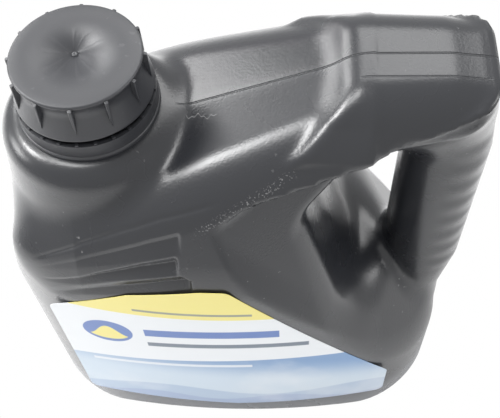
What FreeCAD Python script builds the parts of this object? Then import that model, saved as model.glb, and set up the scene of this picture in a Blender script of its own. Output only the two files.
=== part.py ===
import FreeCAD, Part
import math
import os
import Sketcher

# A four litre motor oil jug: blown black plastic, a screw cap beside a moulded hollow handle.
# Frame: origin in the middle of the base, +Z up, -Y towards the front label, +X towards the handle.

os.makedirs("parts", exist_ok=True)
doc = FreeCAD.newDocument("oil_jug")
sheet = doc.addObject("Spreadsheet::Sheet", "Dims")

sizes = {
    # Blown body, in plan
    "half_width": 108.6,
    "half_depth": 62.8,
    "front_bow": 440.0,
    "side_bow": 250.0,
    "corner_round": 33.0,
    "wall": 1.5,
    "base_round": 6.0,
    "foot_width": 9.0,
    "push_up": 2.5,
    # Shoulder: a roof with a crest, then a flank down to the wall, all rising towards the handle
    "ridge_height": 211.0,
    "ridge_rise": 0.425,
    "crest_half": 41.0,
    "crest_drop": 8.7,
    "crest_round": 14.0,
    "flank_foot": 160.0,
    "crest_taper": 0.13,
    "shoulder_end": 140.0,
    "shoulder_in": 10.0,
    # Handle
    "handle_top": 234.5,
    "handle_half": 22.0,
    "handle_round": 13.0,
    "grip_out": 114.5,
    "grip_in": 77.5,
    "grip_foot": 62.0,
    "corner_cut": 12.0,
    "bar_start": 50.0,
    "bar_half": 30.5,
    "bar_round": 20.0,
    "bar_foot": 222.0,
    "step_start": 44.0,
    "step_run": 8.0,
    "step_rise": 6.5,
    # Finger hole
    "hole_left": 34.0,
    "hole_left_height": 173.0,
    "hole_top": 203.0,
    "hole_bottom": 82.0,
    "hole_tip": 62.0,
    "hole_round": 7.0,
    "rim_round": 8.0,
    # Dished recess round the hole
    "dish_height": 169.0,
    "dish_fall": 1.28,
    "dish_step": 4.3,
    "dish_ramp": 7.0,
    "dish_lean": 2.0,
    "dish_top": 191.0,
    "dish_top_rise": 0.385,
    "dish_foot": 60.0,
    "dish_foot_rise": 0.8,
    # Flutes on the front flank
    "flute_count": 4,
    "flute_top": 46.5,
    "flute_pitch": 3.5,
    "flute_width": 3.2,
    "flute_depth": 2.6,
    "flute_first": 0.6,
    "flute_deepen": 0.2,
    "flute_left": -72.0,
    "flute_stagger": 1.5,
    "flute_right": -13.0,
    "flute_slant": 2.2,
    "flute_tip": 53.0,
    "flute_tip_pitch": 2.2,
    "flute_clear": 4.0,
    # Neck
    "neck_x": -54.2,
    "bell_foot_radius": 47.5,
    "bell_foot": 157.0,
    "bell_radius": 41.0,
    "bell_top": 206.5,
    "bell_round": 11.0,
    "flange_radius": 29.5,
    "flange_thick": 2.2,
    "neck_radius": 21.8,
    "mouth_radius": 19.4,
    # Screw cap, tamper band and liner
    "cap_top": 236.6,
    "cap_plate": 2.4,
    "cap_rim": 26.4,
    "cap_rim_height": 1.6,
    "cap_waist": 25.4,
    "cap_waist_height": 7.0,
    "cap_skirt": 28.7,
    "cap_skirt_wall": 1.7,
    "cap_height": 18.6,
    "rib_count": 12,
    "rib_reach": 27.7,
    "rib_width": 2.0,
    "rib_height": 14.0,
    "gate_radius": 1.6,
    "gate_height": 0.5,
    "liner_thick": 1.2,
    "cap_rim_fall": 0.6,
    "band_wall": 1.6,
    "band_height": 6.6,
    "band_proud": 0.3,
    "bridge_count": 24,
    "bridge_width": 1.3,
    "bridge_height": 0.8,
    "bridge_root": 0.5,
    "play": 0.4,
    # Labels
    "label_thick": 0.2,
    "label_glue": 0.02,
    "label_round": 5.0,
    "label_left": -82.0,
    "label_right": 80.0,
    "label_foot": 16.0,
    "label_foot_rise": 6.0,
    "label_shoulder": 128.0,
    "label_mid_x": -42.5,
    "label_mid": 149.6,
    "label_peak": 156.5,
    "label_peak_x": -10.0,
    "label_cut_x": 2.0,
    "label_end": 51.0,
    "back_left": -70.0,
    "back_right": 55.0,
    "back_foot": 22.0,
    "back_top": 128.0,
}

for row, (name, value) in enumerate(sizes.items(), start=1):
    sheet.set("A%d" % row, name)
    sheet.set("B%d" % row, repr(value))
    sheet.setAlias("B%d" % row, name)
doc.recompute()


def origin_plane(body, role):
    return next(item for item in body.Origin.OriginFeatures if item.Role == role)


def new_body(name):
    return doc.addObject("PartDesign::Body", name)


def new_sketch(body, name, role, offset=None):
    sketch = body.newObject("Sketcher::SketchObject", name)
    sketch.AttachmentSupport = [(origin_plane(body, role), "")]
    sketch.MapMode = "FlatFace"
    if offset:
        for axis, rule in offset.items():
            sketch.setExpression("AttachmentOffset.Base." + axis, rule)
    return sketch


def pin_point(sketch, geometry, end, place):
    # Each corner is held by its two distances from the sketch's origin.
    for kind, rule in zip(("DistanceX", "DistanceY"), place):
        index = sketch.addConstraint(Sketcher.Constraint(kind, geometry, end, 1.0))
        sketch.setExpression("Constraints[%d]" % index, rule)


def polygon(body, name, role, corners, offset=None):
    sketch = new_sketch(body, name, role, offset)
    count = len(corners)
    ring = []
    for index in range(count):
        turn = -2 * math.pi * index / count
        ring.append(FreeCAD.Vector(40 * math.cos(turn), 40 * math.sin(turn), 0))
    for index in range(count):
        sketch.addGeometry(Part.LineSegment(ring[index], ring[(index + 1) % count]))
    for index in range(count):
        after = (index + 1) % count
        sketch.addConstraint(Sketcher.Constraint("Coincident", index, 2, after, 1))
    for index, place in enumerate(corners):
        pin_point(sketch, index, 1, place)
    return sketch


def feature(body, kind, name, sketch, **settings):
    item = body.newObject("PartDesign::" + kind, name)
    item.Profile = sketch
    for key, value in settings.items():
        if isinstance(value, str) and value.startswith("="):
            item.setExpression(key, value[1:])
        else:
            setattr(item, key, value)
    return item


def edges_where(shape, test):
    return ["Edge%d" % (index + 1) for index, edge in enumerate(shape.Edges) if test(edge)]


def fillet(body, name, test, radius):
    doc.recompute()
    base = body.Tip
    names = edges_where(base.Shape, test)
    if not names:
        raise RuntimeError("no edge for " + name)
    item = body.newObject("PartDesign::Fillet", name)
    item.Base = (base, names)
    item.setExpression("Radius", radius)
    doc.recompute()
    return item


def size(name):
    return float(sheet.get(name))


def direction(climb, sideways=0.0):
    # Unit step along +X that climbs and closes in on the middle by so much per millimetre
    return FreeCAD.Vector(1, sideways, climb).normalize()


# The blown body is drawn twice by the same rules: its outside, and its inside one wall smaller.
def plan_outline(body, name, margins, lift="0"):
    sketch = new_sketch(body, name, "XY_Plane", {"z": lift})
    shrink = sum(share * size(margin) for margin, share in margins.items())
    less = "".join(" - %g * Dims.%s" % (share, margin) for margin, share in margins.items())
    wide = size("half_width") - shrink
    deep = size("half_depth") - shrink
    front = size("front_bow") - shrink
    side = size("side_bow") - shrink
    corner = size("corner_round") - shrink
    # Corner centre: inside both bows by the corner's radius
    far = front - corner
    near = side - corner
    front_y = front - deep
    side_x = side - wide
    guess_x = wide - corner
    guess_y = deep - corner
    for _ in range(30):
        guess_x = math.sqrt(near ** 2 - guess_y ** 2) - side_x
        guess_y = math.sqrt(far ** 2 - guess_x ** 2) - front_y
    rise = math.degrees(math.atan2(guess_y, guess_x + side_x))
    lean = math.degrees(math.atan2(guess_y + front_y, guess_x))
    parts = []
    for quarter in range(4):
        mirror_x = 1 if quarter in (0, 3) else -1
        mirror_y = 1 if quarter in (0, 1) else -1
        centre = (mirror_x * guess_x, mirror_y * guess_y)
        spans = {0: (rise, lean), 1: (180 - lean, 180 - rise), 2: (180 + rise, 180 + lean), 3: (360 - lean, 360 - rise)}
        parts.append((centre, corner, spans[quarter]))
        bows = {0: ((0, -front_y), front, (lean, 180 - lean)), 1: ((side_x, 0), side, (180 - rise, 180 + rise)),
                2: ((0, front_y), front, (180 + lean, 360 - lean)), 3: ((-side_x, 0), side, (-rise, rise))}
        parts.append(bows[quarter])
    for centre, radius, span in parts:
        circle = Part.Circle(FreeCAD.Vector(centre[0], centre[1], 0), FreeCAD.Vector(0, 0, 1), radius)
        sketch.addGeometry(Part.ArcOfCircle(circle, math.radians(span[0]), math.radians(span[1])))
    for index in range(8):
        sketch.addConstraint(Sketcher.Constraint("Tangent", index, 2, (index + 1) % 8, 1))
    for index in (1, 5):
        sketch.addConstraint(Sketcher.Constraint("PointOnObject", index, 3, -2))
    for index in (3, 7):
        sketch.addConstraint(Sketcher.Constraint("PointOnObject", index, 3, -1))
    radii = {0: "corner_round", 2: "corner_round", 4: "corner_round", 6: "corner_round",
             1: "front_bow", 5: "front_bow", 3: "side_bow", 7: "side_bow"}
    for index, name_of in radii.items():
        held = sketch.addConstraint(Sketcher.Constraint("Radius", index, parts[index][1]))
        sketch.setExpression("Constraints[%d]" % held, "Dims.%s%s" % (name_of, less))
    for index, kind, rule in (
        (1, "DistanceY", "Dims.half_depth - Dims.front_bow"),
        (5, "DistanceY", "Dims.front_bow - Dims.half_depth"),
        (3, "DistanceX", "Dims.side_bow - Dims.half_width"),
        (7, "DistanceX", "Dims.half_width - Dims.side_bow"),
    ):
        held = sketch.addConstraint(Sketcher.Constraint(kind, index, 3, 1.0))
        sketch.setExpression("Constraints[%d]" % held, rule)
    return sketch


def shoulder_side(inset, side):
    # Roof, crest and flank on one side, at x = 0. What lies outside is cut away along the ridge.
    sign = "-1" if side < 0 else "1"
    sink = " - Dims.wall" if inset else ""
    slant = " - Dims.wall * sqrt(1 + (%s)^2)" if inset else ""
    flank = "(Dims.ridge_height - Dims.crest_drop - Dims.flank_foot) / (Dims.half_depth - Dims.crest_half)"
    roof = "Dims.crest_drop / Dims.crest_half"
    slant = slant and slant % flank
    inward = " - Dims.wall * (sqrt(1 + (%s)^2) - 1) / (%s)" % (flank, flank) if inset else ""
    return [
        ("%s * -30" % sign, "Dims.ridge_height + 30 * %s%s" % (roof, sink)),
        ("%s * (Dims.crest_half%s)" % (sign, inward), "Dims.ridge_height - Dims.crest_drop" + sink),
        ("%s * (Dims.half_depth + 20)" % sign, "Dims.flank_foot - 20 * %s%s" % (flank, slant)),
        ("%s * (Dims.half_depth + 20)" % sign, "Dims.ridge_height + 120"),
        ("%s * -30" % sign, "Dims.ridge_height + 120"),
    ]


def dish_tool(name, grow, side):
    # The dished recess on one side: in outline a wedge under the crest, closed below by a sloping foot.
    body = new_body(name)
    sign = "-1" if side < 0 else "1"
    more = " + Dims.wall" if grow else ""
    less = " - Dims.wall" if grow else ""
    fall = "Dims.dish_fall"
    climb = "Dims.dish_top_rise"
    start = "((Dims.dish_height - Dims.dish_top) / (%s + %s))" % (fall, climb)
    right = "(Dims.grip_out + 15)"
    bar_end = "((Dims.bar_foot - Dims.dish_top) / Dims.dish_top_rise)"
    low = "(Dims.dish_foot - 20)"
    outline = polygon(body, name + "_outline", "XZ_Plane", [
        ("%s - 4 * Dims.wall * %d" % (start, 1 if grow else 0), "Dims.dish_top + %s * %s%s" % (start, climb, more)),
        (bar_end, "Dims.bar_foot" + more),
        (right, "Dims.bar_foot" + more),
        (right, low),
        ("(Dims.dish_height - %s) / %s - 30" % (low, fall), low),
    ])
    block = feature(body, "Pad", name + "_block", outline, SideType="Two sides")
    block.setExpression("Length" if side < 0 else "Length2", "Dims.half_depth + 10")
    block.setExpression("Length2" if side < 0 else "Length", "-(Dims.handle_half%s)" % less)
    grown = " - 1.55 * Dims.wall" if grow else ""
    lean = "Dims.dish_lean"
    inner = "(Dims.half_depth - Dims.dish_step)"
    back = polygon(body, name + "_panel", "YZ_Plane", [
        ("%s * (Dims.half_depth + 20)" % sign, "Dims.dish_height - 20 * Dims.dish_ramp / Dims.dish_step%s" % grown),
        ("%s * %s" % (sign, inner), "Dims.dish_height + Dims.dish_ramp%s" % grown),
        ("0", "Dims.dish_height + Dims.dish_ramp + %s * %s%s" % (inner, lean, grown)),
        ("0", "-200"),
        ("%s * (Dims.half_depth + 20)" % sign, "-200"),
    ])
    feature(body, "Pocket", name + "_lean", back, SideType="Two sides", Length=400, Length2=400,
            UseCustomVector=True, Direction=direction(-size("dish_fall")))
    rise = "Dims.dish_foot_rise"
    foot = polygon(body, name + "_foot", "YZ_Plane", [
        ("%s * (Dims.half_depth + 20)" % sign, "Dims.dish_foot - 20 * %s%s" % (rise, less)),
        ("0", "Dims.dish_foot + Dims.half_depth * %s%s" % (rise, less)),
        ("0", "-200"),
        ("%s * (Dims.half_depth + 20)" % sign, "-200"),
    ])
    feature(body, "Pocket", name + "_floor", foot, SideType="Two sides", Length=400, Length2=400)
    doc.recompute()
    return body


def hole_outline(body, name, inset):
    less = " - Dims.wall" if inset else ""
    more = " + Dims.wall" if inset else ""
    return polygon(body, name, "XZ_Plane", [
        ("Dims.hole_left%s" % less, "Dims.hole_left_height"),
        ("Dims.grip_in%s" % more, "Dims.hole_top%s" % more),
        ("Dims.grip_in%s" % more, "Dims.hole_bottom%s" % less),
        ("Dims.hole_tip%s" % less, "Dims.hole_bottom%s" % less),
    ])


def round_corners(body, name, radius):
    # The upright edges of the finger hole, which run straight from front to back
    def upright(edge):
        box = edge.BoundBox
        inside = size("hole_left") - 6 < box.XMin and box.XMax < size("grip_in") + 6
        return box.YLength > 15 and box.XLength < 0.01 and box.ZLength < 0.01 and inside
    return fillet(body, name, upright, radius)


def handle_slab(name, inset):
    # Handle top and grip: one flat slab with the finger hole through it and all its long edges rounded
    body = new_body(name)
    t = " - Dims.wall" if inset else ""
    plus = " + Dims.wall" if inset else ""
    top = "Dims.handle_top" + t
    out = "Dims.grip_out" + t
    ramp = "Dims.step_rise / Dims.step_run"
    low = "(Dims.ridge_height + Dims.step_start * Dims.ridge_rise)"
    slab = polygon(body, name + "_side", "XZ_Plane", [
        ("Dims.hole_left - 16", "Dims.hole_left_height + 12"),
        ("Dims.step_start - 12%s" % plus, low + " - 12 * " + ramp + t),
        ("Dims.step_start + (Dims.handle_top - %s) / (%s)%s" % (low, ramp, plus), top),
        (out + " - Dims.corner_cut", top),
        (out, top + " - Dims.corner_cut"),
        (out, "Dims.hole_bottom + 40"),
        ("Dims.half_width - 2" + t, "Dims.grip_foot"),
        ("Dims.hole_tip - 16", "Dims.grip_foot"),
        ("Dims.hole_left - 16", "Dims.hole_left_height - 12"),
    ])
    feature(body, "Pad", name + "_slab", slab, SideType="Symmetric", Length="=2 * (Dims.handle_half%s)" % t)
    doc.recompute()
    feature(body, "Pocket", name + "_hole", hole_outline(body, name + "_hole_line", inset),
            SideType="Symmetric", Length=400)
    doc.recompute()
    round_corners(body, name + "_hole_round", "Dims.hole_round" + plus)
    half = size("handle_half") - (size("wall") if inset else 0)

    def on_face(edge):
        box = edge.BoundBox
        return box.YLength < 0.01 and abs(abs(box.YMin) - half) < 0.01

    def rim(edge):
        box = edge.BoundBox
        across = size("hole_left") - 4 < box.XMin and box.XMax < size("grip_in") + 4
        return on_face(edge) and across and size("hole_bottom") - 4 < box.ZMin and box.ZMax < size("hole_top") + 4

    def outside(edge):
        box = edge.BoundBox
        far = box.ZMin > size("hole_top") + 14 or box.XMin > size("grip_in") + 20
        return on_face(edge) and far
    fillet(body, name + "_rim", rim, "Dims.rim_round" + t)
    fillet(body, name + "_round", outside, "Dims.handle_round" + t)
    return body


def bar_section(body, name, t):
    # What lies in front of the bar and above its rounded edge, from the step onwards
    half = "(Dims.bar_half%s)" % t
    radius = "(Dims.bar_round%s)" % t
    top = "(Dims.handle_top%s)" % t
    sketch = polygon(body, name, "YZ_Plane", [
        ("%s - %s" % (radius, half), "Dims.handle_top + 30"),
        ("%s - %s" % (radius, half), top),
        ("-" + half, "%s - %s" % (top, radius)),
        ("-" + half, "Dims.hole_left_height"),
        ("-Dims.half_depth - 30", "Dims.hole_left_height"),
        ("-Dims.half_depth - 30", "Dims.handle_top + 30"),
    ], {"z": "Dims.step_start + Dims.step_run"})
    doc.recompute()
    start = sketch.Geometry[1].StartPoint
    end = sketch.Geometry[1].EndPoint
    bend = math.sqrt(0.5)
    middle = FreeCAD.Vector(start.x + (end.x - start.x) * bend, end.y + (start.y - end.y) * bend, 0)
    sketch.toggleConstruction(1)
    arc = sketch.addGeometry(Part.Arc(start, middle, end))
    sketch.addConstraint(Sketcher.Constraint("Coincident", arc, 1, 1, 1))
    sketch.addConstraint(Sketcher.Constraint("Coincident", arc, 2, 1, 2))
    held = sketch.addConstraint(Sketcher.Constraint("Radius", arc, size("bar_round")))
    sketch.setExpression("Constraints[%d]" % held, radius)
    return sketch


def jug(name, inset):
    t = " - Dims.wall" if inset else ""
    plus = " + Dims.wall" if inset else ""
    body = new_body(name)
    margins = {"wall": 1} if inset else {}
    plan = plan_outline(body, name + "_plan", margins, "Dims.wall" if inset else "0")
    feature(body, "Pad", name + "_block", plan, Length="=Dims.handle_top%s%s" % (t, t))
    low = size("wall") if inset else 0
    fillet(body, name + "_base", lambda edge: abs(edge.BoundBox.ZMax - low) < 0.01, "Dims.base_round" + t)
    dish = plan_outline(body, name + "_foot_line", {"foot_width": 1, "wall": -1 if inset else 0})
    feature(body, "Pocket", name + "_push_up", dish, Reversed=True, Length="=Dims.push_up%s" % plus)
    doc.recompute()

    # Left shoulder in elevation
    far = "(Dims.half_width + 30)"
    left = polygon(body, name + "_left", "XZ_Plane", [
        ("-Dims.half_width - 1%s" % plus, "Dims.shoulder_end"),
        ("-Dims.half_width + Dims.shoulder_in%s" % plus, "Dims.shoulder_end + 3 * Dims.shoulder_in"),
        ("-Dims.half_width + Dims.shoulder_in%s" % plus, "Dims.handle_top + 10"),
        ("-%s" % far, "Dims.handle_top + 10"),
        ("-%s" % far, "Dims.shoulder_end"),
    ])
    feature(body, "Pocket", name + "_left_cut", left, SideType="Symmetric", Length=400)
    doc.recompute()
    for side, word in ((-1, "front"), (1, "back")):
        profile = polygon(body, name + "_" + word + "_shoulder", "YZ_Plane", shoulder_side(inset, side))
        feature(body, "Pocket", name + "_" + word + "_roof", profile, SideType="Two sides", Length=400, Length2=400,
                UseCustomVector=True, Direction=direction(size("ridge_rise"), -side * size("crest_taper")))
        doc.recompute()

    def crest(edge):
        box = edge.BoundBox
        straight = edge.Curve.TypeId == "Part::GeomLine"
        return straight and box.XLength > 100 and box.YLength > 5 and box.ZLength > 20
    fillet(body, name + "_crest", crest, "Dims.crest_round" + t)

    # Recesses on both sides, the finger hole, then the slab that is the handle
    dishes = [dish_tool("%s_dish_%s" % (name, word), inset, side) for side, word in ((-1, "front"), (1, "back"))]
    cut = body.newObject("PartDesign::Boolean", name + "_dishes")
    cut.Type = "Cut"
    cut.setObjects(dishes)
    doc.recompute()
    feature(body, "Pocket", name + "_hole", hole_outline(body, name + "_hole_line", inset),
            SideType="Symmetric", Length=400)
    doc.recompute()
    round_corners(body, name + "_hole_round", "Dims.hole_round" + plus)
    # Room beside the bar and the grip, so that only the rounded slab is left there
    far_right = "Dims.grip_out + 30"
    over = "Dims.dish_top + Dims.dish_top_rise * "
    floor = "Dims.dish_foot + (Dims.half_depth - Dims.handle_half) * Dims.dish_foot_rise" + t
    bar_end = "(Dims.bar_foot - Dims.dish_top) / Dims.dish_top_rise"
    room = polygon(body, name + "_handle_room", "XZ_Plane", [
        ("Dims.bar_start" + t, "Dims.hole_left_height + 16"),
        ("Dims.bar_start + 2" + t, over + "(Dims.bar_start + 2)" + plus),
        (bar_end, "Dims.bar_foot" + plus),
        (far_right, "Dims.bar_foot" + plus),
        (far_right, floor),
        ("Dims.grip_in - 6", floor),
    ])
    feature(body, "Pocket", name + "_handle_side", room, SideType="Symmetric", Length=400)
    doc.recompute()
    beside = bar_section(body, name + "_bar", t)
    trimmed = feature(body, "Pocket", name + "_bar_front", beside, Reversed=True, Length=200)
    doc.recompute()
    mirror = body.newObject("PartDesign::Mirrored", name + "_bar_back")
    mirror.Originals = [trimmed]
    mirror.MirrorPlane = (origin_plane(body, "XZ_Plane"), [""])
    body.Tip = mirror
    doc.recompute()
    slab = handle_slab(name + "_grip", inset)
    join = body.newObject("PartDesign::Boolean", name + "_handle")
    join.Type = "Fuse"
    join.setObjects([slab])
    doc.recompute()
    neck = neck_turning(name + "_neck", inset)
    crown = body.newObject("PartDesign::Boolean", name + "_crown")
    crown.Type = "Fuse"
    crown.setObjects([neck])
    doc.recompute()
    return body


def revolve(body, name, corners):
    # A turned piece about the neck's upright axis
    sketch = polygon(body, name + "_section", "XZ_Plane", corners, {"x": "Dims.neck_x"})
    turned = body.newObject("PartDesign::Revolution", name)
    turned.Profile = sketch
    turned.ReferenceAxis = (sketch, ["V_Axis"])
    turned.Angle = 360
    doc.recompute()
    return turned


def ring_edges(radius, height):
    # Full circles about the neck at one radius and height
    def test(edge):
        box = edge.BoundBox
        wide = abs(box.XLength - 2 * radius) < 0.05 and abs(box.YLength - 2 * radius) < 0.05
        return wide and abs(box.ZMax - height) < 0.05 and box.ZLength < 0.05
    return test


def neck_turning(name, inset):
    body = new_body(name)
    t = " - Dims.wall" if inset else ""
    foot = "Dims.shoulder_end"
    bell = [
        ("0", foot),
        ("Dims.bell_foot_radius" + t, foot),
        ("Dims.bell_foot_radius" + t, "Dims.bell_foot"),
        ("Dims.bell_radius" + t, "Dims.bell_top" + t),
    ]
    if inset:
        neck = [
            ("Dims.mouth_radius", "Dims.bell_top" + t),
            ("Dims.mouth_radius", "(Dims.cap_top - Dims.cap_plate - Dims.liner_thick) + 5"),
            ("0", "(Dims.cap_top - Dims.cap_plate - Dims.liner_thick) + 5"),
        ]
    else:
        neck = [
            ("Dims.flange_radius", "Dims.bell_top"),
            ("Dims.flange_radius", "Dims.bell_top + Dims.flange_thick"),
            ("Dims.neck_radius", "Dims.bell_top + Dims.flange_thick"),
            ("Dims.neck_radius", "(Dims.cap_top - Dims.cap_plate - Dims.liner_thick)"),
            ("0", "(Dims.cap_top - Dims.cap_plate - Dims.liner_thick)"),
        ]
    revolve(body, name + "_turned", bell + neck)
    shrink = size("wall") if inset else 0
    fillet(body, name + "_bell", ring_edges(size("bell_radius") - shrink, size("bell_top") - shrink),
           "Dims.bell_round" + t)
    return body


outer = jug("outside", False)
inner = jug("inside", True)


def flank_slope():
    return (size("ridge_height") - size("crest_drop") - size("flank_foot")) / (size("half_depth") - size("crest_half"))


def flank_point(x, out, inward=0.0):
    # A point on the flank at a distance from the middle, moved inward at right angles to the flank
    past_crest = out - size("crest_half") + size("crest_taper") * x
    height = size("ridge_height") - size("crest_drop") + size("ridge_rise") * x - flank_slope() * past_crest
    across = FreeCAD.Vector(0, flank_slope(), 1).normalize()
    return FreeCAD.Vector(x, out, height) - across * inward


def flute_tool(index, side, grow):
    # One flute: nothing at its left tip, a three-sided pocket at its right end
    spread = grow / math.hypot(1, flank_slope())
    width = size("flute_width") + 2 * spread
    top = size("flute_top") + index * size("flute_pitch") - spread
    left = size("flute_left") - index * size("flute_stagger")
    right = size("flute_right") - size("flute_slant") * index + grow
    tip_out = size("flute_tip") + index * size("flute_tip_pitch")
    proud = -size("flute_clear")
    depth = size("flute_depth") * (size("flute_first") + size("flute_deepen") * index) + grow
    tip = flank_point(left - 2 * grow, tip_out, proud)
    tip_in = flank_point(left - 2 * grow, tip_out + 0.3, 0.0 + 0.2 * grow)
    high = flank_point(right, top, proud)
    low = flank_point(right, top + width, proud)
    floor_high = flank_point(right, top, 0.05 + grow)
    floor_low = flank_point(right, top + width * 0.8, depth)
    corners = [tip, tip_in, high, low, floor_high, floor_low]
    corners = [FreeCAD.Vector(c.x, side * c.y, c.z) for c in corners]
    tip, tip_in, high, low, floor_high, floor_low = corners
    faces = [
        (high, low, floor_low, floor_high),
        (tip, high, floor_high, tip_in),
        (tip_in, floor_high, floor_low),
        (tip_in, floor_low, low, tip),
        (tip, low, high),
    ]
    shells = []
    for ring in faces:
        for third in range(2, len(ring)):
            triangle = Part.makePolygon([ring[0], ring[third - 1], ring[third], ring[0]])
            shells.append(Part.Face(triangle))
    solid = Part.makeSolid(Part.makeShell(shells))
    if solid.Volume < 0:
        solid.reverse()
    return solid


def fluted(name, body, grow):
    tools = doc.addObject("Part::Feature", name + "_flutes")
    solids = [flute_tool(i, side, grow) for i in range(int(size("flute_count"))) for side in (-1, 1)]
    tools.Shape = Part.makeCompound(solids)
    cut = doc.addObject("Part::Cut", name + "_fluted")
    cut.Base = body
    cut.Tool = tools
    doc.recompute()
    return cut


skin = fluted("outside", outer, 0.0)
core = fluted("inside", inner, size("wall"))
bottle = doc.addObject("Part::Cut", "bottle")
bottle.Base = skin
bottle.Tool = core
doc.recompute()


def around_neck(body, base, name, count):
    pattern = body.newObject("PartDesign::PolarPattern", name)
    pattern.Originals = [base]
    pattern.Axis = (base.Profile[0], ["N_Axis"])
    pattern.Angle = 360
    pattern.setExpression("Occurrences", count)
    body.Tip = pattern
    doc.recompute()
    return pattern


def screw_cap():
    # A rimmed top plate, a waist, then a flaring skirt; thin fins run down from the rim
    body = new_body("screw_cap")
    foot = "Dims.cap_top - Dims.cap_height"
    inside = "Dims.cap_waist - Dims.cap_skirt_wall"
    revolve(body, "cap_turned", [
        ("0", "Dims.cap_top"),
        ("Dims.cap_rim", "Dims.cap_top"),
        ("Dims.cap_rim", "Dims.cap_top - Dims.cap_rim_height"),
        ("Dims.cap_waist", "Dims.cap_top - Dims.cap_rim_height - Dims.cap_rim_fall"),
        ("Dims.cap_waist", "Dims.cap_top - Dims.cap_waist_height"),
        ("Dims.cap_skirt", foot),
        ("Dims.cap_skirt - Dims.cap_skirt_wall", foot),
        (inside, "Dims.cap_top - Dims.cap_waist_height"),
        (inside, "Dims.cap_top - Dims.cap_plate"),
        ("0", "Dims.cap_top - Dims.cap_plate"),
    ])
    line = polygon(body, "rib_line", "XY_Plane", [
        ("-Dims.rib_width / 2", "Dims.cap_waist - 1"),
        ("-Dims.rib_width / 2", "Dims.rib_reach"),
        ("Dims.rib_width / 2", "Dims.rib_reach"),
        ("Dims.rib_width / 2", "Dims.cap_waist - 1"),
    ], {"x": "Dims.neck_x", "z": "Dims.cap_top - Dims.rib_height"})
    rib = feature(body, "Pad", "rib", line, Length="=Dims.rib_height")
    doc.recompute()
    around_neck(body, rib, "ribs", "Dims.rib_count")
    spot = new_sketch(body, "gate_line", "XY_Plane", {"x": "Dims.neck_x", "z": "Dims.cap_top"})
    spot.addGeometry(Part.Circle(FreeCAD.Vector(0, 0, 0), FreeCAD.Vector(0, 0, 1), 1.5))
    spot.addConstraint(Sketcher.Constraint("Coincident", 0, 3, -1, 1))
    held = spot.addConstraint(Sketcher.Constraint("Radius", 0, 1.5))
    spot.setExpression("Constraints[%d]" % held, "Dims.gate_radius")
    feature(body, "Pad", "gate", spot, Length="=Dims.gate_height")
    doc.recompute()
    return body


def tamper_band():
    # The ring that stays on the neck, with the stubs of the bridges that held it to the cap
    body = new_body("tamper_band")
    low = "Dims.bell_top + Dims.flange_thick"
    high = low + " + Dims.band_height"
    outside = "Dims.cap_skirt + Dims.band_proud"
    revolve(body, "band_turned", [
        ("Dims.neck_radius + Dims.play", low),
        (outside, low),
        (outside, high),
        (outside + " - Dims.band_wall", high),
        (outside + " - Dims.band_wall", low + " + Dims.band_wall"),
        ("Dims.neck_radius + Dims.play", low + " + Dims.band_wall"),
    ])
    line = polygon(body, "bridge_line", "XY_Plane", [
        ("-Dims.bridge_width / 2", outside + " - Dims.band_wall + Dims.band_proud / 3"),
        ("-Dims.bridge_width / 2", outside + " - Dims.band_proud"),
        ("Dims.bridge_width / 2", outside + " - Dims.band_proud"),
        ("Dims.bridge_width / 2", outside + " - Dims.band_wall + Dims.band_proud / 3"),
    ], {"x": "Dims.neck_x", "z": high + " - Dims.bridge_root"})
    bridge = feature(body, "Pad", "bridge", line, Length="=Dims.bridge_root + Dims.bridge_height")
    doc.recompute()
    around_neck(body, bridge, "bridges", "Dims.bridge_count")
    return body


def cap_liner():
    # The sealing disc, pressed between the cap's plate and the lip
    body = new_body("cap_liner")
    revolve(body, "liner_turned", [
        ("0", "(Dims.cap_top - Dims.cap_plate - Dims.liner_thick)"),
        ("Dims.cap_waist - Dims.cap_skirt_wall - Dims.play", "(Dims.cap_top - Dims.cap_plate - Dims.liner_thick)"),
        ("Dims.cap_waist - Dims.cap_skirt_wall - Dims.play", "Dims.cap_top - Dims.cap_plate"),
        ("0", "Dims.cap_top - Dims.cap_plate"),
    ])
    return body


def label(name, side, corners):
    # A thin film that follows the bow of the wall, trimmed to its outline
    tube = new_body(name + "_film")
    bow = new_sketch(tube, name + "_bow", "XY_Plane", {"y": "%d * (Dims.half_depth - Dims.front_bow)" % side})
    for index, thick in enumerate((" + Dims.label_glue", " + Dims.label_glue + Dims.label_thick")):
        radius = size("front_bow") + index
        bow.addGeometry(Part.Circle(FreeCAD.Vector(0, 0, 0), FreeCAD.Vector(0, 0, 1), radius))
        bow.addConstraint(Sketcher.Constraint("Coincident", index, 3, -1, 1))
        held = bow.addConstraint(Sketcher.Constraint("Radius", index, radius))
        bow.setExpression("Constraints[%d]" % held, "Dims.front_bow" + thick)
    feature(tube, "Pad", name + "_tube", bow, Length="=Dims.ridge_height")
    doc.recompute()
    body = new_body(name)
    outline = polygon(body, name + "_outline", "XZ_Plane", corners)
    feature(body, "Pad", name + "_block", outline, Reversed=side > 0, Length="=Dims.half_depth + 5")
    fillet(body, name + "_corners", lambda edge: edge.BoundBox.YLength > size("half_depth"), "Dims.label_round")
    trim = body.newObject("PartDesign::Boolean", name + "_trim")
    trim.Type = "Common"
    trim.setObjects([tube])
    doc.recompute()
    return body


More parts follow.
